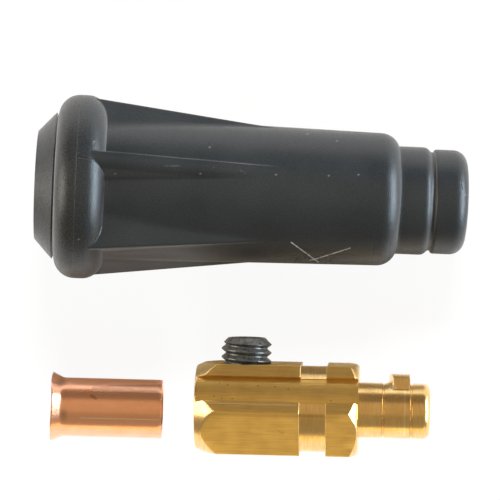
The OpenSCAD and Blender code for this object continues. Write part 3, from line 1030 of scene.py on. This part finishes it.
def make_world():
    """A warm ceiling, darker towards the back, over a bright strip along the back's horizon."""
    world = bpy.data.worlds.new("studio")
    bpy.context.scene.world = world
    world.use_nodes = True
    tree = world.node_tree
    tree.nodes.clear()

    def math_node(operation, *values):
        made = tree.nodes.new("ShaderNodeMath")
        made.operation = operation
        for value, target in zip(values, made.inputs):
            if isinstance(value, float):
                target.default_value = value
            else:
                tree.links.new(value, target)
        return made.outputs[0]

    out = tree.nodes.new("ShaderNodeOutputWorld")
    back = tree.nodes.new("ShaderNodeBackground")
    place = tree.nodes.new("ShaderNodeTexCoord")
    split = tree.nodes.new("ShaderNodeSeparateXYZ")
    ramp = tree.nodes.new("ShaderNodeValToRGB")
    ends = tree.nodes.new("ShaderNodeMix")
    ends.data_type = "RGBA"
    tree.links.new(place.outputs["Generated"], split.inputs[0])
    turn = math_node("ARCTAN2", split.outputs[1], split.outputs[2])
    tree.links.new(math_node("MULTIPLY_ADD", turn, 0.5 / math.pi, 0.5), ramp.inputs[0])
    side = math_node("SUBTRACT", math_node("ABSOLUTE", split.outputs[0]), STUDIO_ENDS_FROM)
    blend = tree.nodes.new("ShaderNodeClamp")
    tree.links.new(math_node("MULTIPLY", side, STUDIO_ENDS_BLEND), blend.inputs[0])
    tree.links.new(blend.outputs[0], ends.inputs[0])
    tree.links.new(ramp.outputs[0], ends.inputs[6])
    ends.inputs[7].default_value = (*STUDIO_ENDS, 1)
    tree.links.new(ends.outputs[2], back.inputs["Color"])
    tree.links.new(back.outputs[0], out.inputs["Surface"])
    back.inputs["Strength"].default_value = STUDIO_STRENGTH
    elements = ramp.color_ramp.elements
    while len(elements) < len(STUDIO):
        elements.new(0.5)
    for element, (angle, color) in zip(elements, STUDIO):
        element.position = angle / 360 + 0.5
        element.color = (*color, 1)


def group(name, pieces):
    """A collection that a lamp is linked to."""
    made = bpy.data.collections.new(name)
    for piece in pieces:
        made.objects.link(piece)
    return made


def make_light(name, place, size, power, color, mirrored=True, lit=(), shading=()):
    """A soft lamp that looks at the middle of the table. One that isn't mirrored leaves no
    highlight. It may be kept to the objects in lit, and its shadows to those of the objects
    in shading."""
    light = bpy.data.lights.new(name, "AREA")
    light.shape = "RECTANGLE"
    light.size, light.size_y = size
    light.energy = power
    light.color = color
    lamp = bpy.data.objects.new(name, light)
    bpy.context.collection.objects.link(lamp)
    lamp.location = place
    lamp.rotation_euler = (-Vector(place)).to_track_quat("-Z", "Y").to_euler()
    lamp.visible_glossy = mirrored
    if lit:
        lamp.light_linking.receiver_collection = group(name + "_lights", lit)
    if shading:
        lamp.light_linking.blocker_collection = group(name + "_shadows", shading)


# The photograph's frame: its middle, the camera's distance and its lens. Then, in degrees, how
# far the camera leans off straight down, towards the right and the top, and how it is rolled
VIEW_MIDDLE = (-0.45, 5.93, 12.0)
VIEW_DISTANCE = 708.0
VIEW_LENS = 216.0
VIEW_RIGHT = 3.5
VIEW_UP = 2.3
VIEW_ROLL = 1.1


def make_camera():
    """The photograph's camera, which looks nearly straight down."""
    camera = bpy.data.cameras.new("camera")
    camera.lens = VIEW_LENS
    camera.sensor_width = 36
    camera.clip_start, camera.clip_end = 0.05, 20
    eye = bpy.data.objects.new("camera", camera)
    bpy.context.collection.objects.link(eye)
    middle = Vector(VIEW_MIDDLE) * MM
    back = Vector((tan(VIEW_RIGHT), tan(VIEW_UP), 1)).normalized()
    right = Vector((cos(VIEW_ROLL), sin(VIEW_ROLL), 0))
    right = (right - back * right.dot(back)).normalized()
    up = back.cross(right)
    turn = Matrix((right, up, back)).transposed().to_4x4()
    eye.matrix_world = Matrix.Translation(middle + back * VIEW_DISTANCE * MM) @ turn
    bpy.context.scene.camera = eye


bpy.context.scene.view_settings.view_transform = "Standard"
make_camera()
make_world()
floor = make_floor()

sleeve = make_sleeve()
sleeve.data.materials.append(rubber())
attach(sleeve, "plug_pieces")
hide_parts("sleeve")

contact = make_contact()
paint_contact(contact)
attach(contact, "plug_pieces")
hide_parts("contact")

ferrule = make_ferrule()
ferrule.data.materials.append(copper())
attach(ferrule, "plug_pieces")
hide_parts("ferrule")

screw = make_screw()
screw.data.materials.append(black_steel())
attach(screw, "screw")
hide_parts("set_screw")

# The photograph joins pictures of the pieces: the metals don't mirror the sleeve in it, nor the
# sleeve the ferrule, and each was lit on its own
sleeve.visible_glossy = False
ferrule.visible_glossy = False
metals = (contact, ferrule, screw)
pieces = (sleeve, *metals)
make_light("key_back", (0.2, 1.75, 1.75), (0.7, 0.4), 75, (1, 0.99, 0.98),
           mirrored=False, shading=(sleeve,))
make_light("side_right", (1.8, 0.2, 0.5), (2.2, 0.9), 85, (0.72, 0.88, 1), lit=pieces)
make_light("side_left", (-1.7, 0.0, 0.65), (1.0, 1.2), 20, (1, 0.95, 0.84), lit=pieces)
make_light("floor_fill", (0, -1.8, 1.05), (1.0, 1.0), 26, (1, 1, 1), mirrored=False, lit=(floor,))
# A bright wall in front of the metals
make_light("front_strip", (0, -2.2, 0.36), (3.5, 0.72), 10, (1, 0.80, 0.38), lit=metals)
